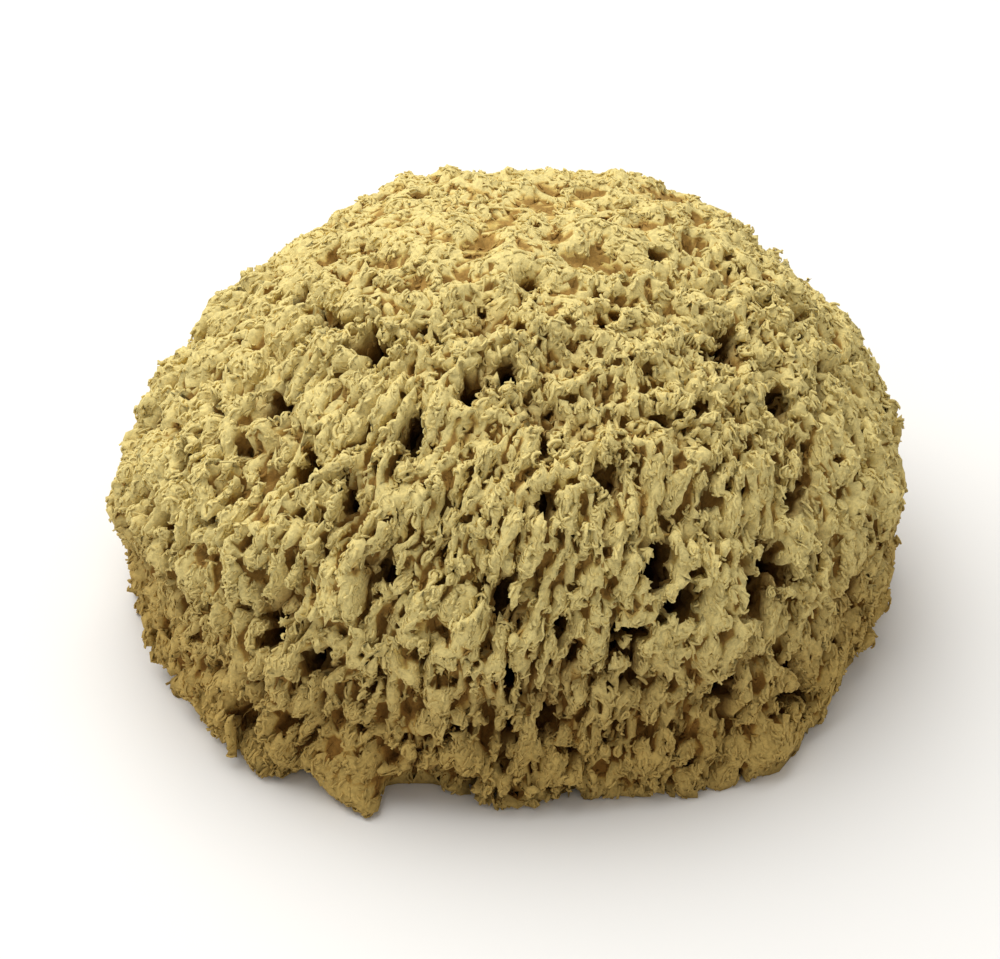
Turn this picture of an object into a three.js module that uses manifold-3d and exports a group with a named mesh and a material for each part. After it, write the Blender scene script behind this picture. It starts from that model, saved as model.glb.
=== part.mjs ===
import * as THREE from "three";
import { ImprovedNoise } from "three/addons/math/ImprovedNoise.js";
import { mergeVertices } from "three/addons/utils/BufferGeometryUtils.js";
import Module from "manifold-3d";

// A natural bath sponge: one dome of dried skeleton that was cut off flat where it grew on rock.
// Lengths are millimetres. +Z is up, the front faces -Y, and the plane of the cut is z = 0.

// Driving dimensions
const WIDTH = 180; // left to right, at the waist
const DEPTH = 160; // front to back, at the waist
const HEIGHT = 100; // from the cut to the crown
const WAIST = 30; // height of the widest level above the cut
const SQUARENESS = 2.04; // 2 is an ellipse seen from above, more is squarer
const UNDERCUT = 2.5; // 2 curls the flank in to the cut as an ellipse does, more keeps it upright
const DETAIL = 16; // subdivisions of the round mesh that the dome is shaped from

const RISE = HEIGHT - WAIST;
const CUT = -WAIST / RISE; // where the cut crosses the unit sphere
const BASE_SHARE = -0.72; // below this height of the round mesh, its faces make the cut face
const GROWTH = new THREE.Vector3(0, 0, 8); // the tufts and canals run out from this point

// Relief of the tufted surface: the size of one wave, and how far it rises or sinks
const LOBES = { size: 36, rise: 3.4 };
const RIDGES = { size: 15, rise: 2.4, comb: 0.42 };
const TUFTS = { size: 7, rise: 2.2 };
const PITS = { least: 2, most: 5.5, crownShare: 0.6 }; // depths of the small pits between the tufts

// Where things sit on the front, read as seen by someone looking down at VIEW degrees: across is to
// the right of the middle, and up is from the middle of the cut.
const VIEW = THREE.MathUtils.degToRad(38);

// Swellings and hollows of the outline
const SWELLINGS = [
  { across: 77, up: 58, size: 11, rise: 2 },
  { across: 66, up: 72, size: 7, rise: -3 },
  { across: -86, up: 20, size: 9, rise: 4 },
  { across: 86, up: 10, size: 7, rise: -3 },
  { across: -24, up: -41, size: 7, rise: -7 },
  { across: 6, up: 50, size: 26, rise: 2 },
  { across: -62, up: 60, size: 22, rise: -3 },
  { across: -42, up: 84, size: 18, rise: -4 },
  { across: -87, up: 2, size: 11, rise: -4 },
  { across: 30, up: -20, size: 14, rise: -3 },
];

// Swellings of the lower rim, by their real places
const RIM_SWELLINGS = [
  { place: [60, -56, 5], size: 15, rise: 8 },
  { place: [-56, -58, 5], size: 13, rise: 5 },
];

// The large holes and clefts that show on the front. lean turns a cleft clockwise from upright.
const OSCULA = [
  { across: 33, up: 7, wide: 6, tall: 10, lean: 0, deep: 24 },
  { across: 55, up: 0, wide: 6, tall: 13, lean: 5, deep: 24 },
  { across: 57, up: 11, wide: 5, tall: 4, lean: 0, deep: 14 },
  { across: 48, up: -21, wide: 7, tall: 7, lean: 0, deep: 20 },
  { across: 38, up: 0, wide: 4, tall: 9, lean: 40, deep: 16 },
  { across: 29, up: -8, wide: 8, tall: 4, lean: 0, deep: 14 },
  { across: 70, up: 43, wide: 4.5, tall: 18, lean: 0, deep: 14 },
  { across: 60, up: 43, wide: 6, tall: 5, lean: 0, deep: 16 },
  { across: 42, up: 41, wide: 4, tall: 5, lean: 0, deep: 14 },
  { across: 4, up: 68, wide: 4.5, tall: 4, lean: 0, deep: 12 },
  { across: 0, up: 49, wide: 4, tall: 6, lean: 20, deep: 14 },
  { across: -9, up: 44, wide: 4, tall: 9, lean: -20, deep: 14 },
  { across: -30, up: 54, wide: 4.5, tall: 15, lean: 48, deep: 12 },
  { across: -40, up: 62, wide: 10, tall: 3.5, lean: 0, deep: 9 },
  { across: -52, up: 42, wide: 4, tall: 5, lean: 30, deep: 12 },
  { across: -72, up: 30, wide: 4.5, tall: 9, lean: 0, deep: 12 },
  { across: -44, up: 27, wide: 5, tall: 9, lean: 20, deep: 14 },
  { across: -77, up: 16, wide: 4.5, tall: 6, lean: 0, deep: 10 },
  { across: -52, up: -9, wide: 4.5, tall: 10, lean: 40, deep: 14 },
  { across: -26, up: 5, wide: 4, tall: 8, lean: 15, deep: 14 },
  { across: 63, up: 22, wide: 5, tall: 12, lean: 0, deep: 14 },
  { across: 0, up: -19, wide: 4, tall: 11, lean: 0, deep: 14 },
  { across: 33, up: 76, wide: 6, tall: 4, lean: 0, deep: 9 },
  { across: 8, up: 20, wide: 4, tall: 5, lean: 20, deep: 12 },
  { across: 69, up: -23, wide: 5, tall: 15, lean: 42, deep: 10 },
  { across: -2, up: 0, wide: 5, tall: 9, lean: -20, deep: 14 },
  { across: -44, up: -15, wide: 4, tall: 8, lean: 0, deep: 11 },
];
const HOLE_SIDES = 6;
const HOLE_FLOOR = 0.3; // width of a hole's floor over that of its mouth
const MOUTH_ABOVE = 5; // a hole is cut from this far outside the skin

// The holes that the front doesn't show follow a sunflower spiral all round the dome.
const HIDDEN_HOLES = { count: 44, wide: [4.5, 8], stretch: [1, 1.9], deep: [10, 20] };
const CUT_HOLES = { count: 9, wide: [5, 9], deep: [7, 14], spread: 62, clear: 16 };

// Two loose tongues at the lower rim: a pointed one by the left front, a folded one at the right
const TONGUES = [
  { root: [-40, -58, 6.5], tip: [-30, -80.5, 1.6], halfWidth: 12.5, thick: 9 },
  { root: [54, -54, 9], tip: [69, -59, 8.5], halfWidth: 9, thick: 6 },
];
const TONGUE_SIDES = 8;

const wasm = await Module();
wasm.setup();
const perlin = new ImprovedNoise();

// A repeatable run of numbers from 0 to 1
function makeDraw(seed) {
  let state = seed;
  return () => {
    state = (state * 1664525 + 1013904223) % 4294967296;
    return state / 4294967296;
  };
}

function between(range, share) {
  return range[0] + (range[1] - range[0]) * share;
}

function wave(point, size, shift) {
  return perlin.noise(point.x / size + shift, point.y / size + shift, point.z / size);
}

// The plain dome's skin in a direction of the unit sphere, above the cut
function skin(direction) {
  const level = Math.hypot(direction.x, direction.y);
  const cos = level > 0 ? Math.abs(direction.x) / level : 1;
  const sin = level > 0 ? Math.abs(direction.y) / level : 0;
  const square = Math.pow(cos ** SQUARENESS + sin ** SQUARENESS, -1 / SQUARENESS);
  return new THREE.Vector3(
    (direction.x * square * WIDTH) / 2,
    (direction.y * square * DEPTH) / 2,
    WAIST + direction.z * RISE,
  );
}

// The point of the plain dome that a viewer in front, VIEW degrees above, sees at a place
function seenAt(across, up) {
  const toViewer = new THREE.Vector3(0, -Math.cos(VIEW), Math.sin(VIEW));
  const upward = new THREE.Vector3(0, Math.sin(VIEW), Math.cos(VIEW));
  const start = upward.multiplyScalar(up).setX(across);
  const half = new THREE.Vector3(WIDTH / 2, DEPTH / 2, RISE);
  const from = start.clone().sub(new THREE.Vector3(0, 0, WAIST)).divide(half);
  const ray = toViewer.clone().divide(half);
  const b = from.dot(ray);
  const inside = b * b - ray.lengthSq() * (from.lengthSq() - 1);
  const along = (-b + Math.sqrt(Math.max(0, inside))) / ray.lengthSq();
  return start.addScaledVector(toViewer, along);
}

// Relief over the plain skin: lobes, ridges combed down the flanks, tufts and the named swellings
const swellings = [
  ...SWELLINGS.map((s) => ({ ...s, at: seenAt(s.across, s.up) })),
  ...RIM_SWELLINGS.map((s) => ({ ...s, at: new THREE.Vector3(...s.place) })),
];
function relief(point, direction) {
  const level = Math.hypot(direction.x, direction.y);
  const polar = Math.atan2(level, direction.z);
  const girth = level > 0 ? Math.min(1, 1.5 * level) / level : 0;
  const combed = new THREE.Vector3(direction.x * girth, direction.y * girth, polar * RIDGES.comb);
  combed.multiplyScalar(DEPTH / 2);
  const ridge = 1 - 3 * Math.abs(wave(combed, RIDGES.size, 0));
  let height = LOBES.rise * wave(point, LOBES.size, 7);
  height += RIDGES.rise * ridge;
  height += TUFTS.rise * wave(point, TUFTS.size, 3);
  for (const s of swellings) {
    height += s.rise * Math.exp(-point.distanceToSquared(s.at) / (s.size * s.size));
  }
  return height;
}

// One vertex in three or four of the round mesh is the floor of a small pit, and no two of them touch
function pitDepths(mesh) {
  const draw = makeDraw(3);
  const places = mesh.getAttribute("position");
  const corners = mesh.index.array;
  const neighbours = Array.from({ length: places.count }, () => new Set());
  for (let i = 0; i < corners.length; i += 3) {
    for (const [a, b] of [[0, 1], [1, 2], [2, 0]]) {
      neighbours[corners[i + a]].add(corners[i + b]);
      neighbours[corners[i + b]].add(corners[i + a]);
    }
  }
  const order = neighbours.map((_, i) => ({ i, turn: draw() })).sort((a, b) => a.turn - b.turn);
  const depths = new Float32Array(places.count);
  for (const { i } of order) {
    const free = [...neighbours[i]].every((n) => depths[n] === 0);
    const share = THREE.MathUtils.lerp(1, PITS.crownShare, Math.max(0, places.getZ(i)));
    if (free) depths[i] = between([PITS.least, PITS.most], draw()) * share;
  }
  return depths;
}

// A point of the finished skin, without holes, for a vertex of the round mesh
function shaped(vertex, pit) {
  const onCut = vertex.z < BASE_SHARE;
  const share = onCut ? 0 : (vertex.z - BASE_SHARE) / (1 - BASE_SHARE);
  const z = CUT + share * (1 - CUT);
  const heading = Math.atan2(vertex.y, vertex.x);
  const bulge = z < 0 ? UNDERCUT : 2;
  const level = Math.pow(1 - Math.abs(z) ** bulge, 1 / bulge);
  const direction = new THREE.Vector3(Math.cos(heading) * level, Math.sin(heading) * level, z);
  const point = skin(direction);
  const out = new THREE.Vector3(point.x / WIDTH ** 2, point.y / DEPTH ** 2, (point.z - WAIST) / (4 * RISE ** 2));
  out.normalize();
  point.addScaledVector(out, relief(point, direction) - (onCut ? 0 : pit));
  if (onCut) {
    const inward = Math.sqrt((1 + vertex.z) / (1 + BASE_SHARE));
    point.multiplyScalar(inward);
  }
  point.z = onCut ? 0 : Math.max(0, point.z);
  return point;
}

function solidOf(geometry) {
  const bare = new THREE.BufferGeometry();
  const loose = geometry.index ? geometry.toNonIndexed() : geometry;
  bare.setAttribute("position", loose.getAttribute("position"));
  const merged = mergeVertices(bare, 1e-3);
  return new wasm.Manifold(
    new wasm.Mesh({
      numProp: 3,
      vertProperties: new Float32Array(merged.attributes.position.array),
      triVerts: new Uint32Array(merged.index.array),
    }),
  );
}

function makeDome() {
  const round = new THREE.IcosahedronGeometry(1, DETAIL);
  round.deleteAttribute("normal");
  round.deleteAttribute("uv");
  const mesh = mergeVertices(round, 1e-4);
  const depths = pitDepths(mesh);
  const places = mesh.getAttribute("position");
  for (let i = 0; i < places.count; i++) {
    const vertex = new THREE.Vector3().fromBufferAttribute(places, i).normalize();
    const point = shaped(vertex, depths[i]);
    places.setXYZ(i, point.x, point.y, point.z);
  }
  return solidOf(mesh);
}

// A tapered blind hole with an oval mouth, cut along a line from outside the skin
function makeHole(mouth, inward, hole, turn) {
  const length = hole.deep + MOUTH_ABOVE;
  const shape = new THREE.CylinderGeometry(0.5, 0.5 * HOLE_FLOOR, length, HOLE_SIDES);
  shape.rotateX(Math.PI / 2); // the mouth now faces +Z
  shape.translate(0, 0, -length / 2);
  shape.rotateZ(turn);
  shape.scale(hole.wide, hole.tall, 1);
  shape.rotateZ(-THREE.MathUtils.degToRad(hole.lean));
  const outward = inward.clone().negate();
  const aside = new THREE.Vector3(0, 0, 1).cross(outward).normalize();
  const along = outward.clone().cross(aside);
  const start = mouth.clone().addScaledVector(outward, MOUTH_ABOVE);
  shape.applyMatrix4(new THREE.Matrix4().makeBasis(aside, along, outward).setPosition(start));
  return solidOf(shape);
}

function frontHoles() {
  const draw = makeDraw(5);
  return OSCULA.map((hole) => {
    const mouth = seenAt(hole.across, hole.up);
    return { mouth, solid: makeHole(mouth, GROWTH.clone().sub(mouth).normalize(), hole, draw() * 6) };
  });
}

// Holes of the flanks, crown and back, left out where one that was read from the front is near
function hiddenHoles(taken) {
  const draw = makeDraw(11);
  const golden = Math.PI * (3 - Math.sqrt(5));
  const found = [];
  for (let i = 0; i < HIDDEN_HOLES.count; i++) {
    const z = 0.97 - ((0.97 - CUT - 0.12) * (i + 0.5)) / HIDDEN_HOLES.count;
    const level = Math.sqrt(1 - z * z);
    const heading = i * golden + 0.5 * (draw() - 0.5);
    const mouth = skin(new THREE.Vector3(Math.cos(heading) * level, Math.sin(heading) * level, z));
    const wide = between(HIDDEN_HOLES.wide, draw() ** 2);
    const hole = {
      wide,
      tall: wide * between(HIDDEN_HOLES.stretch, draw()),
      lean: 50 * (draw() - 0.5),
      deep: between(HIDDEN_HOLES.deep, draw()),
    };
    const turn = draw() * 6;
    if (taken.every((t) => t.mouth.distanceTo(mouth) > 11)) {
      found.push(makeHole(mouth, GROWTH.clone().sub(mouth).normalize(), hole, turn));
    }
  }
  return found;
}

// Canals that the cut laid open, away from the middle of the cut
function cutHoles() {
  const draw = makeDraw(23);
  const found = [];
  for (let i = 0; i < CUT_HOLES.count; i++) {
    const far = between([CUT_HOLES.clear, CUT_HOLES.spread], Math.sqrt((i + 0.5) / CUT_HOLES.count));
    const heading = i * 2.4 + draw();
    const mouth = new THREE.Vector3(Math.cos(heading) * far, Math.sin(heading) * far * 0.88, 0);
    const wide = between(CUT_HOLES.wide, draw());
    const hole = { wide, tall: wide * between([0.8, 1.3], draw()), lean: 0, deep: between(CUT_HOLES.deep, draw()) };
    const inward = new THREE.Vector3(-0.12 * Math.cos(heading), -0.12 * Math.sin(heading), 1).normalize();
    found.push(makeHole(mouth, inward, hole, draw() * 6));
  }
  return found;
}

// A flat tongue of skeleton that tapers from its root inside the dome to a blunt tip
function makeTongue(tongue) {
  const root = new THREE.Vector3(...tongue.root);
  const tip = new THREE.Vector3(...tongue.tip);
  const ahead = tip.clone().sub(root);
  const length = ahead.length();
  ahead.normalize();
  const shape = new THREE.CylinderGeometry(0.16, 1, length, TONGUE_SIDES, 3);
  shape.translate(0, length / 2, 0);
  shape.scale(tongue.halfWidth, 1, tongue.thick / 2);
  const aside = ahead.clone().cross(new THREE.Vector3(0, 0, 1)).normalize();
  const above = aside.clone().cross(ahead);
  shape.applyMatrix4(new THREE.Matrix4().makeBasis(aside, ahead, above).setPosition(root));
  const places = shape.getAttribute("position");
  for (let i = 0; i < places.count; i++) {
    const point = new THREE.Vector3().fromBufferAttribute(places, i);
    point.addScaledVector(above, 0.8 * wave(point, TUFTS.size, 1));
    places.setXYZ(i, point.x, point.y, Math.max(0, point.z));
  }
  return solidOf(shape);
}

function geometryOf(solid) {
  const made = solid.getMesh();
  const places = new Float32Array(made.numVert * 3);
  for (let i = 0; i < made.numVert; i++) {
    places.set(made.vertProperties.subarray(i * made.numProp, i * made.numProp + 3), i * 3);
  }
  const geometry = new THREE.BufferGeometry();
  geometry.setAttribute("position", new THREE.BufferAttribute(places, 3));
  geometry.setIndex(new THREE.BufferAttribute(new Uint32Array(made.triVerts), 1));
  return geometry;
}

function makeSponge() {
  let solid = makeDome();
  for (const tongue of TONGUES) solid = solid.add(makeTongue(tongue));
  const front = frontHoles();
  const holes = [...front.map((hole) => hole.solid), ...hiddenHoles(front), ...cutHoles()];
  for (const hole of holes) solid = solid.subtract(hole);
  const geometry = geometryOf(solid);
  geometry.computeBoundingBox();
  const middle = geometry.boundingBox.getCenter(new THREE.Vector3());
  geometry.translate(-middle.x, -middle.y, 0); // the origin lies under the middle of the sponge
  const skeleton = new THREE.MeshStandardMaterial({ color: 0xc2a765, roughness: 0.95, metalness: 0 });
  const mesh = new THREE.Mesh(geometry, skeleton);
  mesh.name = "sponge";
  return mesh;
}

const sponge = new THREE.Group();
sponge.add(makeSponge());

export default sponge;
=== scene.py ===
import math
import random

import bpy
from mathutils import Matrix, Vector


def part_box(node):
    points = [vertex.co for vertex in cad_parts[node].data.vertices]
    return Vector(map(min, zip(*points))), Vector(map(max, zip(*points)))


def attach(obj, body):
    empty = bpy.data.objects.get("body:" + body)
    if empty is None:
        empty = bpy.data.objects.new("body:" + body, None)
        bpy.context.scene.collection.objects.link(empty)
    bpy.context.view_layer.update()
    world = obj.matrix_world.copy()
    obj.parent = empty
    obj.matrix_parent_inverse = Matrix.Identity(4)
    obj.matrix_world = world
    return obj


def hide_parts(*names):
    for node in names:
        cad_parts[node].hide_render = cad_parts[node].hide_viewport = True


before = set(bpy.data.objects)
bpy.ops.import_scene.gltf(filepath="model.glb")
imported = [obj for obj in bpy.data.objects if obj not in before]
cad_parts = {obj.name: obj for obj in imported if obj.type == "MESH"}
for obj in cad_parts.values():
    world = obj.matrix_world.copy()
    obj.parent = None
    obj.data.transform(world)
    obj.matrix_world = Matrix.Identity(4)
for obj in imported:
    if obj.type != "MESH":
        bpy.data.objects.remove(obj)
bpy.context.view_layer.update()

# The view
# A dried bath sponge on a pale table, looked down on from the front with a long lens, so that it fills
# four fifths of the picture's width. The camera aims a little above the middle of its cut.
VIEW_ELEVATION = math.radians(38)
VIEW_DISTANCE = 0.9
LENS_MM = 140
AIM = Vector((-0.0018, 0.0, 0.0318))

camera_data = bpy.data.cameras.new("photo_camera")
camera_data.lens = LENS_MM
camera = bpy.data.objects.new("photo_camera", camera_data)
bpy.context.scene.collection.objects.link(camera)
toward_camera = Vector((0, -math.cos(VIEW_ELEVATION), math.sin(VIEW_ELEVATION)))
camera.location = AIM + toward_camera * VIEW_DISTANCE
camera.rotation_mode = "QUATERNION"
camera.rotation_quaternion = toward_camera.to_track_quat("Z", "Y")
bpy.context.scene.camera = camera

# The sponge's body
# One dried skeleton of spongin fibre, grown outwards from the rock in tufts and thin walls with pits
# between them. It is grown here as a field of distances: the solid's own outline, less the hollows.

# Sizes named _MM are in millimetres, as the skeleton's formulas are, and all others in metres.
MM = 0.001
UP = (0.0, 0.0, 1.0)
VOXEL_MM = 0.78
CELL_MARGIN = 3
OUTSIDE_DENSITY = -5.0
LARGEST_SHARE = 0.5
BODY_TRIANGLES = 198000
MERGE_DISTANCE = 1e-6
BLUR_STEPS = 6
TIP_GAIN_MM = 0.8
# the cut's faces look straight down, and a slanting ray tells inside from outside without meeting an edge
CUT_FACING = -0.95
RAY_SLANT = (0.137, 0.071, 1.0)
# the tufts fan out from a point low in the sponge, and are combed down the flanks from a pole at the
# crown; a share of the plain place is added, so that the pattern changes inwards too
GROWTH_POINT_MM = (0.0, 0.0, 8.0)
COMB_POLE = (0.24, 0.12, 0.96)
COMB_STRETCH = 0.38
COMB_RADIUS_MM = 80.0
COMB_PLAIN_SHARE = 0.22
POLE_SPREAD = 1.5
DRIFT_SIZE_MM = 14.0
DRIFT_MM = 9.0
# creases part the tufts, deeper in some patches than in others, and finer ones part their strands
LOCK_WIDTH_MM = 3.5
LOCK_CREASE_MM = (1.2, 3.6)
LOCK_EDGE = 0.2
PATCH_SIZE_MM = 18.0
PATCH_RANGE = (0.40, 0.62)
STRAND_WIDTH_MM = 2.1
STRAND_CREASE_MM = 1.6
STRAND_EDGE = 0.24
# pits open where two creases cross, with crumbs all over and round pocks here and there
PIT_MM = 4.5
CRUMB_SIZE_MM = 1.9
CRUMB_RELIEF_MM = 1.1
CRUMB_EDGE = 0.45
POCK_SIZE_MM = 3.0
POCK_DEPTH_MM = 4.0
POCK_RANGE = (0.62, 0.74)
# the noises are read from places well apart, so that none repeats another
STRAND_ASIDE_MM = (31.0, 7.0, 3.0)
PATCH_ASIDE_MM = (11.0, 57.0, 3.0)
POCK_ASIDE_MM = (5.0, 83.0, 19.0)
# the hollows are shallower on the crown and at the rim, and open the cut as pores
CROWN_POLE = (0.0, 0.35, 0.94)
CROWN_RANGE = (0.72, 0.92)
CROWN_SHARE = 0.36
RIM_MM = (0.6, 4.0)
RIM_SHARE = 0.5
CUT_PORE_SHARE = 0.9
CUT_PORE_START_MM = 0.9
# the loose tongues of the rim, at the left front and at the right: place, reach and share of the hollows
TONGUES = [((-32.0, -74.0, 4.0), 6.5, 0.4), ((60.0, -62.0, 6.0), 6.5, 0.15)]
# where the skeleton stands in from the solid's skin, or out of it: place, reach and how far out, in mm
SHIFT_CORE = 0.2
SHIFTS = [
    ((-70.0, 28.0, 57.0), 34.0, -3.4), ((-50.0, 42.0, 72.0), 32.0, -3.0),
    ((69.0, -60.0, 2.0), 12.0, -3.5), ((76.0, -44.0, 13.0), 14.0, 2.5),
    ((43.0, -69.0, 3.0), 18.0, 4.5), ((84.0, 15.0, 45.0), 22.0, 2.0),
    ((-34.0, -71.0, 8.0), 12.0, 4.5),
]
# the dark holes and pits are carved round lines that run in from the skin and lean towards the viewer
HOLE_RADIUS_MM = 1.0
HOLE_LEAN = 0.6
HOLE_SLANT = 0.25
HOLE_REACH_MM = 4
HOLE_MORE_REACH_MM = 18
HOLE_SEED = 4
PIT_RADIUS_MM = 0.8
PIT_REACH_MM = 5.0
LINE_SPACING_MM = 2.4
LINE_JITTER_MM = 0.7
LINE_START = 0.009
RAGGED_CRUMBS_MM = 0.9
RAGGED_STRANDS_MM = 0.5
# dark holes seen from the front: across from the middle, up in the picture, width and height, in mm
DARK_HOLES = [
    (33, 8, 5, 8), (33, 3, 4, 5), (55, 0, 5, 13), (58, 9, 7, 4), (48, -21, 8, 6), (40, 1, 4, 9),
    (37, -4, 7, 4), (28, -8, 8, 3), (25, -12, 6, 3),
    (70, 45, 3, 16), (61, 44, 5, 6), (42, 41, 3, 4), (4, 68, 4, 3), (0, 49, 3, 5), (-9, 43, 2, 5),
    (-30, 54, 3, 10), (-39, 60, 9, 2), (-52, 42, 3, 4), (-72, 31, 3, 8), (-44, 28, 4, 8), (-77, 17, 3, 4),
    (-53, -8, 4, 9), (-26, 5, 3, 5), (64, 21, 4, 10), (0, -19, 2, 6), (33, 76, 4, 2), (8, 21, 2, 3),
    (-44, -15, 3, 5), (15, -12, 2, 4), (13, -35, 6, 2), (-35, 21, 3, 5), (8, 34, 2, 3),
    (65, -26, 9, 8), (-33, -29, 3, 3), (-31, -21, 3, 3), (63, 4, 4, 4),
    (35, 39, 7, 2), (43, 54, 3, 4), (49, 55, 3, 8), (-12, -31, 2, 4), (0, -30, 2, 4), (66, 31, 3, 6),
    (3, 59, 3, 2), (24, 62, 2, 3), (20, 59, 2, 2), (59, 65, 4, 2), (56, 36, 3, 3), (8, 31, 2, 2),
    (76, 38, 3, 4),
]
# smaller pits seen from the front: across and up, in mm
SMALL_PITS = [
    (40, 68), (59, 65), (27, 52), (24, 51), (31, 50), (56, 36), (80, 41), (25, 31), (43, 28), (47, 30),
    (53, 33), (59, 30), (78, 26), (48, 24), (44, 21), (-8, 27), (7, 30), (14, 25), (11, 14),
    (-9, 17), (-21, 15), (-26, 17), (-7, 3), (14, 2), (23, 3), (25, 38), (14, 43), (-42, 35), (-37, 48),
    (-23, 44), (-56, 12), (-42, 6), (-59, 7), (-28, 0), (-47, -1), (-14, -7), (-5, -11),
    (-45, -18), (-8, -29), (-19, -25), (-12, -19), (48, 8), (65, 3), (26, -13), (69, 13), (68, 8), (35, 15),
    (37, 18), (-66, 8), (-20, 35), (22, -20), (36, -20), (40, -28), (56, -14), (30, -30), (-62, -14),
    (-70, -4), (-18, 58), (-6, 62), (14, 60), (20, 66), (-50, 56), (-58, 50), (-64, 40), (-30, 70),
    (-14, 74), (6, 82), (22, 84), (50, 76), (74, 30), (82, 12), (76, 0), (74, -12), (60, -28), (-20, -12),
]


def wire(tree, value, socket):
    """Feeds a socket from another node's output, or sets it to a plain value."""
    if isinstance(value, bpy.types.NodeSocket):
        tree.links.new(value, socket)
    else:
        socket.default_value = value


def calc(tree, operation, *values):
    node = tree.nodes.new("ShaderNodeMath")
    node.operation = operation
    for value, socket in zip(values, node.inputs):
        wire(tree, value, socket)
    return node.outputs[0]


def vector_calc(tree, operation, *values):
    node = tree.nodes.new("ShaderNodeVectorMath")
    node.operation = operation
    for value, socket in zip(values, node.inputs):
        wire(tree, value, socket)
    return node.outputs["Value" if operation in ("DOT_PRODUCT", "LENGTH") else "Vector"]


def scaled(tree, vector, factor):
    node = tree.nodes.new("ShaderNodeVectorMath")
    node.operation = "SCALE"
    wire(tree, vector, node.inputs[0])
    wire(tree, factor, node.inputs["Scale"])
    return node.outputs[0]


def eased(tree, value, start, end, low=0.0, high=1.0):
    """Runs smoothly from low to high as value goes from start to end."""
    node = tree.nodes.new("ShaderNodeMapRange")
    node.interpolation_type = "SMOOTHSTEP"
    names = ("Value", "From Min", "From Max", "To Min", "To Max")
    for number, name in zip((value, start, end, low, high), names):
        wire(tree, number, node.inputs[name])
    return node.outputs[0]


def noise(tree, place, size, detail=0.0, roughness=0.5, output="Fac"):
    node = tree.nodes.new("ShaderNodeTexNoise")
    wire(tree, place, node.inputs["Vector"])
    node.inputs["Scale"].default_value = 1 / size
    node.inputs["Detail"].default_value = detail
    node.inputs["Roughness"].default_value = roughness
    return node.outputs[output]


def crease(tree, value):
    """0 where a noise crosses its middle, rising to about 1 on both sides."""
    centred = calc(tree, "SUBTRACT", value, 0.5)
    return calc(tree, "ABSOLUTE", calc(tree, "MULTIPLY", centred, 2.0))


def new_geometry_tree(name):
    tree = bpy.data.node_groups.new(name, "GeometryNodeTree")
    tree.interface.new_socket("Geometry", in_out="INPUT", socket_type="NodeSocketGeometry")
    tree.interface.new_socket("Geometry", in_out="OUTPUT", socket_type="NodeSocketGeometry")
    return tree, tree.nodes.new("NodeGroupInput").outputs[0], tree.nodes.new("NodeGroupOutput").inputs[0]


def depth_inside(tree, solid, place):
    """The distance in from the solid's grown skin in millimetres, negative outside."""
    facing = tree.nodes.new("GeometryNodeInputNormal").outputs[0]
    at_cut = calc(tree, "LESS_THAN", vector_calc(tree, "DOT_PRODUCT", facing, UP), CUT_FACING)
    grown_skin = tree.nodes.new("GeometryNodeDeleteGeometry")
    grown_skin.domain = "FACE"
    wire(tree, solid, grown_skin.inputs["Geometry"])
    wire(tree, at_cut, grown_skin.inputs["Selection"])
    nearest = tree.nodes.new("GeometryNodeProximity")
    nearest.target_element = "FACES"
    wire(tree, grown_skin.outputs[0], nearest.inputs[0])
    ray = tree.nodes.new("GeometryNodeRaycast")
    wire(tree, solid, ray.inputs["Target Geometry"])
    wire(tree, place, ray.inputs["Source Position"])
    slant = Vector(RAY_SLANT).normalized()
    ray.inputs["Ray Direction"].default_value = slant
    ray.inputs["Ray Length"].default_value = 1.0
    leaving = vector_calc(tree, "DOT_PRODUCT", ray.outputs["Hit Normal"], tuple(slant))
    inside = calc(tree, "MULTIPLY", ray.outputs["Is Hit"], calc(tree, "GREATER_THAN", leaving, 0.0))
    sign = calc(tree, "MULTIPLY_ADD", inside, 2.0, -1.0)
    return calc(tree, "MULTIPLY", calc(tree, "DIVIDE", nearest.outputs["Distance"], MM), sign)


def combed_place(tree, place):
    """A place whose third part runs down the flanks, so that what is made from it is combed that way."""
    outward = vector_calc(tree, "NORMALIZE", vector_calc(tree, "SUBTRACT", place, GROWTH_POINT_MM))
    pole = Vector(COMB_POLE).normalized()
    along_pole = vector_calc(tree, "DOT_PRODUCT", outward, tuple(pole))
    aside = vector_calc(tree, "SUBTRACT", outward, scaled(tree, tuple(pole), along_pole))
    level = vector_calc(tree, "LENGTH", aside)
    spread = calc(tree, "MINIMUM", calc(tree, "MULTIPLY", level, POLE_SPREAD), 1.0)
    girth = calc(tree, "DIVIDE", spread, calc(tree, "MAXIMUM", level, 0.001))
    polar = calc(tree, "MULTIPLY", calc(tree, "ARCTAN2", level, along_pole), COMB_STRETCH)
    place_on_ball = vector_calc(tree, "ADD", scaled(tree, aside, girth), scaled(tree, tuple(pole), polar))
    on_ball = scaled(tree, place_on_ball, COMB_RADIUS_MM)
    return vector_calc(tree, "ADD", on_ball, scaled(tree, place, COMB_PLAIN_SHARE))


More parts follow.
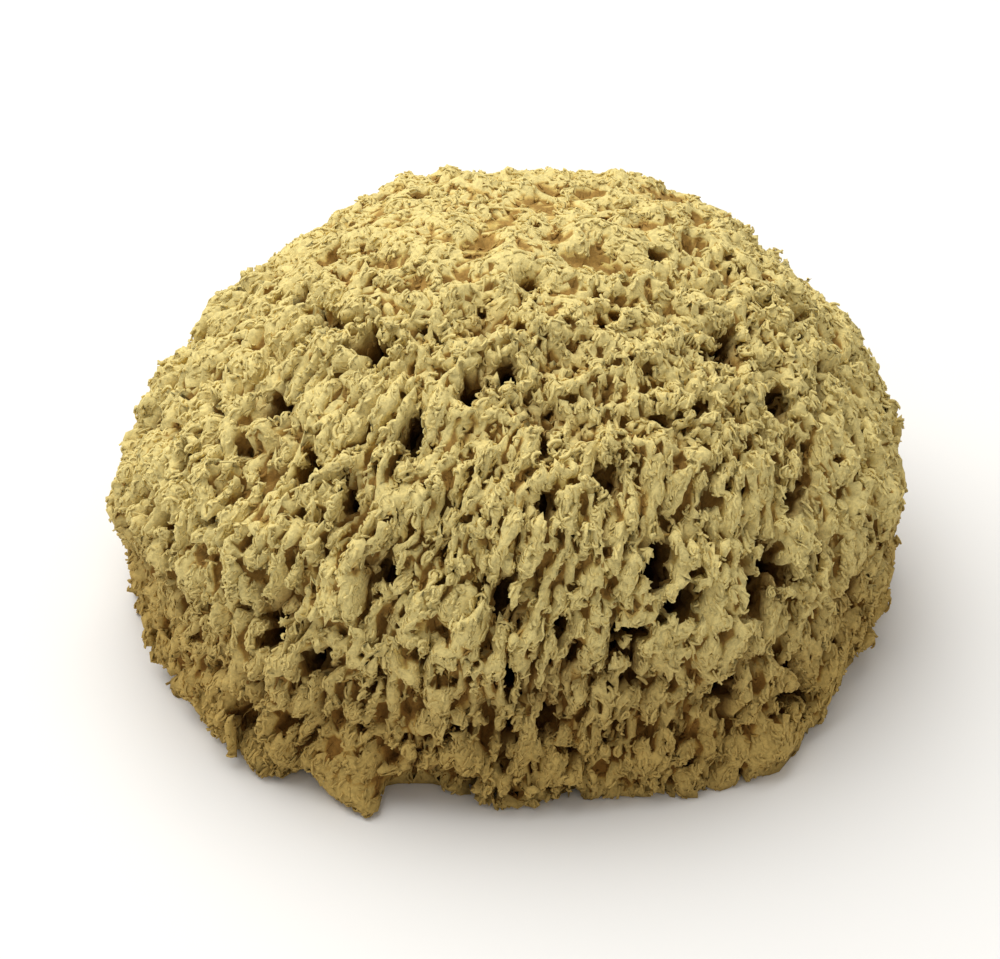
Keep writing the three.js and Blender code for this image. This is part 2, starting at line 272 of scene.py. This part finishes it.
def skeleton_density(tree, solid, hole_lines, pit_lines):
    """Above 0 in the skeleton's walls and tufts, below 0 in its pits and outside it."""
    position = tree.nodes.new("GeometryNodeInputPosition").outputs[0]
    place = scaled(tree, position, 1 / MM)
    depth = depth_inside(tree, solid, position)
    for middle, reach, shift in SHIFTS:
        away = vector_calc(tree, "LENGTH", vector_calc(tree, "SUBTRACT", place, middle))
        depth = calc(tree, "ADD", depth, eased(tree, away, SHIFT_CORE * reach, reach, shift, 0.0))
    drift = noise(tree, place, DRIFT_SIZE_MM, detail=1.0, output="Color")
    drift = vector_calc(tree, "SUBTRACT", drift, (0.5, 0.5, 0.5))
    combed = vector_calc(tree, "ADD", combed_place(tree, place), scaled(tree, drift, DRIFT_MM))
    locks = noise(tree, combed, LOCK_WIDTH_MM, detail=1.0)
    lock_crease = eased(tree, crease(tree, locks), 0.0, LOCK_EDGE, 1.0, 0.0)
    strand_place = vector_calc(tree, "ADD", combed, STRAND_ASIDE_MM)
    strands = noise(tree, strand_place, STRAND_WIDTH_MM, detail=1.0)
    strand_crease = eased(tree, crease(tree, strands), 0.0, STRAND_EDGE, 1.0, 0.0)
    crumbs = noise(tree, place, CRUMB_SIZE_MM, detail=1.5, roughness=0.6)
    crumbs = eased(tree, crease(tree, crumbs), 0.0, CRUMB_EDGE)
    patch_place = vector_calc(tree, "ADD", place, PATCH_ASIDE_MM)
    patches = noise(tree, patch_place, PATCH_SIZE_MM, detail=1.0)
    openness = eased(tree, patches, *PATCH_RANGE, *LOCK_CREASE_MM)
    hollow = calc(tree, "MULTIPLY", lock_crease, openness)
    hollow = calc(tree, "MULTIPLY_ADD", strand_crease, STRAND_CREASE_MM, hollow)
    crossing = calc(tree, "MULTIPLY", lock_crease, strand_crease)
    hollow = calc(tree, "MULTIPLY_ADD", crossing, PIT_MM, hollow)
    hollow = calc(tree, "MULTIPLY_ADD", crumbs, CRUMB_RELIEF_MM, hollow)
    pocks = noise(tree, vector_calc(tree, "ADD", combed, POCK_ASIDE_MM), POCK_SIZE_MM)
    hollow = calc(tree, "ADD", hollow, eased(tree, pocks, *POCK_RANGE, 0.0, POCK_DEPTH_MM))
    outward = vector_calc(tree, "NORMALIZE", vector_calc(tree, "SUBTRACT", place, GROWTH_POINT_MM))
    upright = vector_calc(tree, "DOT_PRODUCT", outward, CROWN_POLE)
    hollow = calc(tree, "MULTIPLY", hollow, eased(tree, upright, *CROWN_RANGE, 1.0, CROWN_SHARE))
    height = calc(tree, "DIVIDE", vector_calc(tree, "DOT_PRODUCT", position, UP), MM)
    hollow = calc(tree, "MULTIPLY", hollow, eased(tree, height, *RIM_MM, RIM_SHARE, 1.0))
    for tongue, reach, share in TONGUES:
        away = vector_calc(tree, "LENGTH", vector_calc(tree, "SUBTRACT", place, tongue))
        hollow = calc(tree, "MULTIPLY", hollow, eased(tree, away, reach, 2 * reach, share, 1.0))
    grown = calc(tree, "SUBTRACT", calc(tree, "ADD", depth, TIP_GAIN_MM), hollow)
    # the dark holes and the pits are carved round their middle lines, with a ragged wall
    raggedness = calc(tree, "MULTIPLY", strand_crease, RAGGED_STRANDS_MM)
    raggedness = calc(tree, "MULTIPLY_ADD", crumbs, RAGGED_CRUMBS_MM, raggedness)
    from_hole = calc(tree, "SUBTRACT", distance_from(tree, hole_lines), HOLE_RADIUS_MM)
    from_pit = calc(tree, "SUBTRACT", distance_from(tree, pit_lines), PIT_RADIUS_MM)
    outside_hole = calc(tree, "SUBTRACT", calc(tree, "MINIMUM", from_hole, from_pit), raggedness)
    # the cut is flat, and opens on the same hollows
    cut_pores = calc(tree, "MULTIPLY_ADD", hollow, CUT_PORE_SHARE, -CUT_PORE_START_MM)
    cut_pores = calc(tree, "MAXIMUM", cut_pores, 0.0)
    above_cut = calc(tree, "SUBTRACT", height, cut_pores)
    solid_part = calc(tree, "MINIMUM", calc(tree, "MINIMUM", depth, grown), above_cut)
    return calc(tree, "MINIMUM", solid_part, outside_hole)


def line_object(name, solid, seen_places):
    """Lines that run into the solid at places seen from the front, each with its own depth."""
    upward = Vector((0, math.sin(VIEW_ELEVATION), math.cos(VIEW_ELEVATION)))
    points = []
    for across, up, reach in seen_places:
        start = (Vector((across, 0, 0)) + upward * up) * MM
        hit, place, _, _ = solid.ray_cast(start + toward_camera, -toward_camera)
        if hit:
            inward = (Vector(GROWTH_POINT_MM) * MM - place).normalized()
            inward = (inward - HOLE_LEAN * toward_camera).normalized()
            points += [place - inward * LINE_START, place + inward * reach * MM]
    mesh = bpy.data.meshes.new(name)
    mesh.from_pydata(points, [(i, i + 1) for i in range(0, len(points), 2)], [])
    lines = bpy.data.objects.new(name, mesh)
    bpy.context.scene.collection.objects.link(lines)
    return lines


def dark_hole_places():
    """Each hole is a small grid of lines a line's width apart, leaning as the tufts do."""
    rng = random.Random(HOLE_SEED)
    for across, up, wide, tall in DARK_HOLES:
        rows = max(1, round(tall / LINE_SPACING_MM))
        columns = max(1, round(wide / LINE_SPACING_MM))
        for row in range(rows):
            for column in range(columns):
                shift_up = (row + 0.5) / rows * tall - tall / 2
                shift_across = (column + 0.5) / columns * wide - wide / 2 + HOLE_SLANT * shift_up
                line_across = across + shift_across + rng.uniform(-LINE_JITTER_MM, LINE_JITTER_MM)
                line_up = up + shift_up + rng.uniform(-LINE_JITTER_MM, LINE_JITTER_MM)
                yield line_across, line_up, HOLE_REACH_MM + min(wide * tall, HOLE_MORE_REACH_MM)


def distance_from(tree, lines):
    source = tree.nodes.new("GeometryNodeObjectInfo")
    source.inputs["Object"].default_value = lines
    nearest = tree.nodes.new("GeometryNodeProximity")
    nearest.target_element = "EDGES"
    wire(tree, source.outputs["Geometry"], nearest.inputs[0])
    return calc(tree, "DIVIDE", nearest.outputs["Distance"], MM)


def skeleton_tree(hole_lines, pit_lines):
    tree, solid, result = new_geometry_tree("skeleton")
    low, high = (Vector(corner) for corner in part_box("sponge"))
    margin = Vector((CELL_MARGIN * VOXEL_MM * MM,) * 3)
    cube = tree.nodes.new("GeometryNodeVolumeCube")
    cube.inputs["Min"].default_value = low - margin
    cube.inputs["Max"].default_value = high + margin
    cube.inputs["Background"].default_value = OUTSIDE_DENSITY
    for axis, span in zip("XYZ", high - low + 2 * margin):
        cube.inputs["Resolution " + axis].default_value = round(span / (VOXEL_MM * MM))
    wire(tree, skeleton_density(tree, solid, hole_lines, pit_lines), cube.inputs["Density"])
    mesh = tree.nodes.new("GeometryNodeVolumeToMesh")
    mesh.resolution_mode = "GRID"
    mesh.inputs["Threshold"].default_value = 0.0
    wire(tree, cube.outputs[0], mesh.inputs["Volume"])
    # closed bubbles and crumbs that hang in the air are loose islands of the mesh, and go
    island = tree.nodes.new("GeometryNodeInputMeshIsland").outputs["Island Index"]
    count = tree.nodes.new("GeometryNodeAccumulateField")
    wire(tree, 1.0, count.inputs["Value"])
    wire(tree, island, count.inputs["Group Index"])
    whole = tree.nodes.new("GeometryNodeAttributeDomainSize")
    wire(tree, mesh.outputs[0], whole.inputs[0])
    large_enough = calc(tree, "MULTIPLY", whole.outputs["Point Count"], LARGEST_SHARE)
    small = calc(tree, "LESS_THAN", count.outputs["Total"], large_enough)
    delete = tree.nodes.new("GeometryNodeDeleteGeometry")
    wire(tree, mesh.outputs[0], delete.inputs["Geometry"])
    wire(tree, small, delete.inputs["Selection"])
    wire(tree, delete.outputs[0], result)
    return tree


def apply_tree(piece, tree):
    piece.modifiers.new(tree.name, "NODES").node_group = tree
    bpy.context.view_layer.objects.active = piece
    bpy.ops.object.modifier_apply(modifier=tree.name)


def store(tree, geometry, name, value):
    node = tree.nodes.new("GeometryNodeStoreNamedAttribute")
    node.data_type = "FLOAT"
    node.domain = "POINT"
    node.inputs["Name"].default_value = name
    wire(tree, geometry, node.inputs["Geometry"])
    wire(tree, value, node.inputs["Value"])
    return node.outputs[0]


def measuring_tree():
    """Keeps, at each point, how deep it lies under the outline and how far it stands out, in mm."""
    tree, skeleton, result = new_geometry_tree("measure")
    outline = tree.nodes.new("GeometryNodeConvexHull")
    wire(tree, skeleton, outline.inputs[0])
    nearest = tree.nodes.new("GeometryNodeProximity")
    nearest.target_element = "FACES"
    wire(tree, outline.outputs[0], nearest.inputs[0])
    depth = calc(tree, "DIVIDE", nearest.outputs["Distance"], MM)
    position = tree.nodes.new("GeometryNodeInputPosition").outputs[0]
    blurred = tree.nodes.new("GeometryNodeBlurAttribute")
    blurred.data_type = "FLOAT_VECTOR"
    blurred.inputs["Iterations"].default_value = BLUR_STEPS
    wire(tree, position, [s for s in blurred.inputs if s.name == "Value" and s.enabled][0])
    mean = [s for s in blurred.outputs if s.enabled][0]
    normal = tree.nodes.new("GeometryNodeInputNormal").outputs[0]
    out = vector_calc(tree, "DOT_PRODUCT", vector_calc(tree, "SUBTRACT", position, mean), normal)
    stored = store(tree, skeleton, "depth_mm", depth)
    stored = store(tree, stored, "crest_mm", calc(tree, "DIVIDE", out, MM))
    wire(tree, stored, result)
    return tree


def skeleton_copy(name):
    """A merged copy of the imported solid, as the start of a piece of its own."""
    bpy.ops.object.select_all(action="DESELECT")
    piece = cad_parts["sponge"].copy()
    piece.data = piece.data.copy()
    for key in list(piece.keys()):
        del piece[key]
    piece.parent = None
    piece.name = name
    bpy.context.scene.collection.objects.link(piece)
    piece.select_set(True)
    bpy.context.view_layer.objects.active = piece
    bpy.ops.object.mode_set(mode="EDIT")
    bpy.ops.mesh.select_all(action="SELECT")
    bpy.ops.mesh.remove_doubles(threshold=MERGE_DISTANCE)
    bpy.ops.object.mode_set(mode="OBJECT")
    return piece


body = skeleton_copy("sponge_body")
hole_lines = line_object("hole_lines", body, dark_hole_places())
pit_places = [(across, up, PIT_REACH_MM) for across, up in SMALL_PITS]
pit_lines = line_object("pit_lines", body, pit_places)
apply_tree(body, skeleton_tree(hole_lines, pit_lines))
bpy.data.objects.remove(hole_lines)
bpy.data.objects.remove(pit_lines)
triangles = sum(len(face.vertices) - 2 for face in body.data.polygons)
thin = body.modifiers.new("thin_out", "DECIMATE")
thin.ratio = min(1.0, BODY_TRIANGLES / triangles)
bpy.ops.object.modifier_apply(modifier="thin_out")
bpy.ops.object.shade_smooth()
apply_tree(body, measuring_tree())


def attribute(tree, name):
    node = tree.nodes.new("ShaderNodeAttribute")
    node.attribute_name = name
    return node.outputs["Fac"]


def mixed(tree, share, first, second, blend="MIX"):
    node = tree.nodes.new("ShaderNodeMix")
    node.data_type = "RGBA"
    node.blend_type = blend
    wire(tree, share, node.inputs["Factor"])
    colours = [s for s in node.inputs if s.type == "RGBA"]
    wire(tree, first, colours[0])
    wire(tree, second, colours[1])
    return [s for s in node.outputs if s.type == "RGBA"][0]


def colour(red, green, blue):
    """A colour as picked off a screen, as the linear one that the shader wants."""
    linear = [((c / 255 + 0.055) / 1.055) ** 2.4 for c in (red, green, blue)]
    return (*linear, 1.0)


# the sponge's own ochre and olive tones, and the painted light and shade laid over them: a paler colour for
# the crests, amber for the creases and hollows, dark brown for the deep holes, brown for the base and a
# darkening tint for the lower flanks
PAINTED_CREST_LIGHT = colour(230, 210, 138)
OCHRE = colour(212, 180, 102)
PAINTED_HOLLOW_SHADE = colour(162, 124, 62)
PAINTED_DEEP_SHADE = colour(84, 56, 32)
PAINTED_RIM_SHADE = colour(146, 122, 74)
OLIVE = colour(204, 179, 102)
PAINTED_LOW_SHADE = colour(212, 196, 171)
# where the tones lie: by how deep under the outline, how far out of the mean skin, and how high. Apart from
# the random patches these are painted light and shade: paler crests, darker amber creases and hollows, dark
# brown deep holes, a brown band at the base and darker lower flanks
TONE_SIZE_MM = 16.0
TONE_RANGE = (0.38, 0.64)
CREST_LIGHT_MM = (0.0, 0.4)
HOLLOW_SHADE_DEPTH_MM = (3.5, 9.5)
HOLLOW_SHADE_CREST_MM = (0.08, -0.3)
HOLLOW_SHADE_SHARE = 0.9
DEEP_SHADE_DEPTH_MM = (11.0, 19.0)
RIM_SHADE_HEIGHT_MM = (5.0, 0.5)
RIM_SHADE_SHARE = 0.3
LOW_SHADE_HEIGHT_MM = (55.0, 12.0)
# the felt's grain, as speckles and as a fine bump
GRAIN_SIZE_MM = 0.9
GRAIN_RANGE = (0.36, 0.62)
SPECKLE = (0.74, 1.08)
SPECKLE_SHARE = 0.75
GRAIN_RELIEF = 0.00045
GRAIN_BUMP = 0.6


def skeleton_material():
    material = bpy.data.materials.new("sponge_skeleton")
    material.use_nodes = True
    tree = material.node_tree
    shader = tree.nodes["Principled BSDF"]
    place = scaled(tree, tree.nodes.new("ShaderNodeTexCoord").outputs["Object"], 1 / MM)
    depth = attribute(tree, "depth_mm")
    crest = attribute(tree, "crest_mm")
    patches = eased(tree, noise(tree, place, TONE_SIZE_MM, detail=2.0), *TONE_RANGE)
    tone = mixed(tree, patches, OCHRE, OLIVE)
    # painted light: the crests that stand out of the skin are made paler
    tone = mixed(tree, eased(tree, crest, *CREST_LIGHT_MM), tone, PAINTED_CREST_LIGHT)
    # painted shade: deep under the outline and in the creases the colour turns a darker amber
    tone = mixed(tree, eased(tree, depth, *HOLLOW_SHADE_DEPTH_MM, 0.0, HOLLOW_SHADE_SHARE), tone, PAINTED_HOLLOW_SHADE)
    tone = mixed(tree, eased(tree, crest, *HOLLOW_SHADE_CREST_MM, 0.0, HOLLOW_SHADE_SHARE), tone, PAINTED_HOLLOW_SHADE)
    # painted shade: the deepest holes turn dark brown
    tone = mixed(tree, eased(tree, depth, *DEEP_SHADE_DEPTH_MM), tone, PAINTED_DEEP_SHADE)
    split = tree.nodes.new("ShaderNodeSeparateXYZ")
    wire(tree, place, split.inputs[0])
    height = split.outputs["Z"]
    # painted shade: a darker brown band along the base
    tone = mixed(tree, eased(tree, height, *RIM_SHADE_HEIGHT_MM, 0.0, RIM_SHADE_SHARE), tone, PAINTED_RIM_SHADE)
    # painted shade: below 55 mm the colour darkens and warms towards the base
    tone = mixed(tree, eased(tree, height, *LOW_SHADE_HEIGHT_MM), tone, PAINTED_LOW_SHADE, "MULTIPLY")
    grain = noise(tree, place, GRAIN_SIZE_MM, detail=3.0, roughness=0.65)
    speckle = eased(tree, grain, *GRAIN_RANGE, *SPECKLE)
    grey = tree.nodes.new("ShaderNodeCombineColor")
    for socket in grey.inputs[:3]:
        wire(tree, speckle, socket)
    tone = mixed(tree, SPECKLE_SHARE, tone, grey.outputs[0], "MULTIPLY")
    wire(tree, tone, shader.inputs["Base Color"])
    shader.inputs["Roughness"].default_value = 0.95
    shader.inputs["Specular IOR Level"].default_value = 0.2
    bump = tree.nodes.new("ShaderNodeBump")
    bump.inputs["Strength"].default_value = GRAIN_BUMP
    bump.inputs["Distance"].default_value = GRAIN_RELIEF
    wire(tree, grain, bump.inputs["Height"])
    wire(tree, bump.outputs[0], shader.inputs["Normal"])
    return material


skeleton_finish = skeleton_material()
body.data.materials.clear()
body.data.materials.append(skeleton_finish)
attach(body, "root")
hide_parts("sponge")

# The fibres
# The skeleton's own felt: short flattened spongin fibres, straw yellow like the rest, that cover every
# tuft. They are planted on the skin along the tufts' own direction and joined, as four pieces.
PIECE_TRIANGLES = 193000
# they stand near the outline, off the floor, and on skin that faces out
FIBRE_DEPTH_MM = 7.0
FIBRE_FLOOR_MM = 0.5
FIBRE_FACING = -0.1
# each piece has a few kinds of fibre, a millimetre long and a fifth of that wide before they are sized
FIBRE_KINDS = 5
FIBRE_BEND = 0.4
FIBRE_SAG = (-0.05, 0.16)
FIBRE_WIDTH = 0.2
FIBRE_TAPER = -0.8
FIBRE_FLATNESS = 0.65
ROOT_DIP = -0.06
TIP_RISE = 0.02
# they lie down the flanks as the tufts do, rolled a little and swirled by a slow noise
ROLL = 0.6
COMB_OUTWARD = 0.6
SWIRL_SIZE_MM = 11.0
SWIRL = 2.2


def fibre_kind(tree, bend, sag, steps, sides):
    """One bent fibre that tapers to both ends. Blender makes at least three steps."""
    line = tree.nodes.new("GeometryNodeCurveQuadraticBezier")
    line.inputs["Resolution"].default_value = steps
    line.inputs["Start"].default_value = (-0.5 * MM, 0, ROOT_DIP * MM)
    line.inputs["Middle"].default_value = (0, bend * MM, sag * MM)
    line.inputs["End"].default_value = (0.5 * MM, 0, TIP_RISE * MM)
    along = tree.nodes.new("GeometryNodeSplineParameter").outputs["Factor"]
    from_middle = calc(tree, "ABSOLUTE", calc(tree, "MULTIPLY_ADD", along, 2.0, -1.0))
    radius = tree.nodes.new("GeometryNodeSetCurveRadius")
    wire(tree, line.outputs[0], radius.inputs["Curve"])
    wire(tree, calc(tree, "MULTIPLY_ADD", from_middle, FIBRE_TAPER, 1.0), radius.inputs["Radius"])
    ring = tree.nodes.new("GeometryNodeCurvePrimitiveCircle")
    ring.inputs["Resolution"].default_value = sides
    ring.inputs["Radius"].default_value = FIBRE_WIDTH / 2 * MM
    tube = tree.nodes.new("GeometryNodeCurveToMesh")
    wire(tree, radius.outputs[0], tube.inputs["Curve"])
    wire(tree, ring.outputs[0], tube.inputs["Profile Curve"])
    tube.inputs["Fill Caps"].default_value = True
    return tube.outputs[0]


def random_value(tree, kind, low, high, seed):
    node = tree.nodes.new("FunctionNodeRandomValue")
    node.data_type = kind
    for value, name in ((low, "Min"), (high, "Max")):
        socket = [s for s in node.inputs if s.name == name and s.enabled][0]
        socket.default_value = value
    node.inputs["Seed"].default_value = seed
    return [s for s in node.outputs if s.enabled][0]


def fibre_tree(name, seed, length, thickness, lift, swing, steps, sides, least_crest):
    tree, skeleton, result = new_geometry_tree(name)
    position = tree.nodes.new("GeometryNodeInputPosition").outputs[0]
    height = vector_calc(tree, "DOT_PRODUCT", position, UP)
    depth = tree.nodes.new("GeometryNodeInputNamedAttribute")
    depth.data_type = "FLOAT"
    depth.inputs["Name"].default_value = "depth_mm"
    near_skin = calc(tree, "LESS_THAN", depth.outputs[0], FIBRE_DEPTH_MM)
    off_floor = calc(tree, "GREATER_THAN", height, FIBRE_FLOOR_MM * MM)
    outward = vector_calc(tree, "SUBTRACT", position, tuple(Vector(GROWTH_POINT_MM) * MM))
    outward = vector_calc(tree, "NORMALIZE", outward)
    normal = tree.nodes.new("GeometryNodeInputNormal").outputs[0]
    facing = vector_calc(tree, "DOT_PRODUCT", normal, outward)
    facing_out = calc(tree, "GREATER_THAN", facing, FIBRE_FACING)
    crest = tree.nodes.new("GeometryNodeInputNamedAttribute")
    crest.data_type = "FLOAT"
    crest.inputs["Name"].default_value = "crest_mm"
    on_tuft = calc(tree, "GREATER_THAN", crest.outputs[0], least_crest)
    chosen = calc(tree, "MULTIPLY", calc(tree, "MULTIPLY", near_skin, off_floor), facing_out)
    chosen = calc(tree, "MULTIPLY", chosen, on_tuft)
    count = PIECE_TRIANGLES / (2 * sides * steps + 2 * (sides - 2))
    area = tree.nodes.new("GeometryNodeAttributeStatistic")
    area.domain = "FACE"
    wire(tree, skeleton, area.inputs["Geometry"])
    face_area = tree.nodes.new("GeometryNodeInputMeshFaceArea").outputs[0]
    wire(tree, calc(tree, "MULTIPLY", face_area, chosen), area.inputs["Attribute"])
    roots = tree.nodes.new("GeometryNodeDistributePointsOnFaces")
    wire(tree, skeleton, roots.inputs["Mesh"])
    wire(tree, calc(tree, "DIVIDE", count, area.outputs["Sum"]), roots.inputs["Density"])
    wire(tree, chosen, roots.inputs["Selection"])
    roots.inputs["Seed"].default_value = seed
    pole = Vector(COMB_POLE).normalized()
    combing = vector_calc(tree, "SUBTRACT", scaled(tree, outward, COMB_OUTWARD), tuple(pole))
    swirl = noise(tree, scaled(tree, position, 1 / MM), SWIRL_SIZE_MM, detail=1.0, output="Color")
    swirl = vector_calc(tree, "SUBTRACT", swirl, (0.5, 0.5, 0.5))
    combing = vector_calc(tree, "ADD", combing, scaled(tree, swirl, SWIRL))
    frame_turn = tree.nodes.new("FunctionNodeAxesToRotation")
    frame_turn.primary_axis = "Z"
    frame_turn.secondary_axis = "X"
    wire(tree, roots.outputs["Normal"], frame_turn.inputs[0])
    wire(tree, combing, frame_turn.inputs[1])
    loose = tree.nodes.new("FunctionNodeEulerToRotation")
    least_turn = (-ROLL, -lift[1], -swing)
    most_turn = (ROLL, -lift[0], swing)
    wire(tree, random_value(tree, "FLOAT_VECTOR", least_turn, most_turn, seed + 1), loose.inputs[0])
    turn = tree.nodes.new("FunctionNodeRotateRotation")
    turn.rotation_space = "LOCAL"
    wire(tree, frame_turn.outputs[0], turn.inputs[0])
    wire(tree, loose.outputs[0], turn.inputs[1])
    kinds = tree.nodes.new("GeometryNodeGeometryToInstance")
    rng = random.Random(seed)
    for _ in range(FIBRE_KINDS):
        made = fibre_kind(tree, rng.uniform(-FIBRE_BEND, FIBRE_BEND), rng.uniform(*FIBRE_SAG), steps, sides)
        tree.links.new(made, kinds.inputs[0])
    size_x = random_value(tree, "FLOAT", *length, seed + 2)
    size_y = random_value(tree, "FLOAT", thickness[0] / FIBRE_WIDTH, thickness[1] / FIBRE_WIDTH, seed + 3)
    size = tree.nodes.new("ShaderNodeCombineXYZ")
    wire(tree, size_x, size.inputs[0])
    wire(tree, size_y, size.inputs[1])
    wire(tree, calc(tree, "MULTIPLY", size_y, FIBRE_FLATNESS), size.inputs[2])
    planted = tree.nodes.new("GeometryNodeInstanceOnPoints")
    wire(tree, roots.outputs["Points"], planted.inputs["Points"])
    wire(tree, kinds.outputs[0], planted.inputs["Instance"])
    planted.inputs["Pick Instance"].default_value = True
    wire(tree, turn.outputs[0], planted.inputs["Rotation"])
    wire(tree, size.outputs[0], planted.inputs["Scale"])
    real = tree.nodes.new("GeometryNodeRealizeInstances")
    wire(tree, planted.outputs[0], real.inputs[0])
    # what would hang under the floor is flattened onto it
    rested = tree.nodes.new("GeometryNodeSetPosition")
    wire(tree, real.outputs[0], rested.inputs["Geometry"])
    wire(tree, vector_calc(tree, "MAXIMUM", position, (-1.0, -1.0, 0.0)), rested.inputs["Position"])
    wire(tree, rested.outputs[0], result)
    return tree


def make_fibres(name, **choices):
    bpy.ops.object.select_all(action="DESELECT")
    piece = body.copy()
    piece.data = body.data.copy()
    piece.name = name
    for key in list(piece.keys()):
        del piece[key]
    bpy.context.scene.collection.objects.link(piece)
    piece.select_set(True)
    apply_tree(piece, fibre_tree(name, **choices))
    bpy.ops.object.shade_smooth()
    piece.data.materials.clear()
    piece.data.materials.append(skeleton_finish)
    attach(piece, "root")


# combed strands on the tufts' crests, shorter and looser fibres round them, and crumbs that also line
# the hollows; lengths and thicknesses are in mm, and lift and swing in radians
make_fibres("strands", seed=21, length=(2.0, 3.6), thickness=(0.65, 1.05),
            lift=(-0.05, 0.05), swing=0.35, steps=4, sides=4, least_crest=0.02)
make_fibres("fibres_combed", seed=31, length=(1.6, 2.8), thickness=(0.6, 1.0),
            lift=(-0.05, 0.12), swing=0.6, steps=3, sides=3, least_crest=-0.08)
make_fibres("fibres_short", seed=41, length=(1.2, 2.2), thickness=(0.65, 1.05),
            lift=(0.0, 0.2), swing=0.9, steps=3, sides=3, least_crest=-0.15)
make_fibres("fibres_crumb", seed=51, length=(1.2, 1.9), thickness=(0.8, 1.3),
            lift=(0.0, 0.3), swing=1.8, steps=3, sides=3, least_crest=-0.4)

# The table and the light
# A wide pale surface of matt paper, under soft studio light. A broad lamp hangs above, a little to the
# left and behind, and pale fill comes from all sides.
FLOOR_SIZE = 6.0
FLOOR_COLOUR = colour(238, 236, 232)
FILL_STRENGTH = 0.52
KEY_WATTS = 27.0
KEY_SIZE = 1.8
KEY_PLACE = Vector((-0.45, 0.4, 1.35))

bpy.ops.object.select_all(action="DESELECT")
bpy.ops.mesh.primitive_plane_add(size=FLOOR_SIZE)
floor = bpy.context.object
floor.name = "floor"
floor_finish = bpy.data.materials.new("floor_paper")
floor_finish.use_nodes = True
floor_finish.node_tree.nodes["Principled BSDF"].inputs["Base Color"].default_value = FLOOR_COLOUR
floor_finish.node_tree.nodes["Principled BSDF"].inputs["Roughness"].default_value = 0.9
floor.data.materials.append(floor_finish)

world = bpy.data.worlds.new("studio")
world.use_nodes = True
world.node_tree.nodes["Background"].inputs["Color"].default_value = (1.0, 1.0, 1.0, 1.0)
world.node_tree.nodes["Background"].inputs["Strength"].default_value = FILL_STRENGTH
bpy.context.scene.world = world
bpy.context.scene.view_settings.view_transform = "Standard"

key_data = bpy.data.lights.new("key_lamp", "AREA")
key_data.energy = KEY_WATTS
key_data.size = KEY_SIZE
key = bpy.data.objects.new("key_lamp", key_data)
bpy.context.scene.collection.objects.link(key)
key.location = KEY_PLACE
key.rotation_mode = "QUATERNION"
key.rotation_quaternion = KEY_PLACE.to_track_quat("Z", "Y")
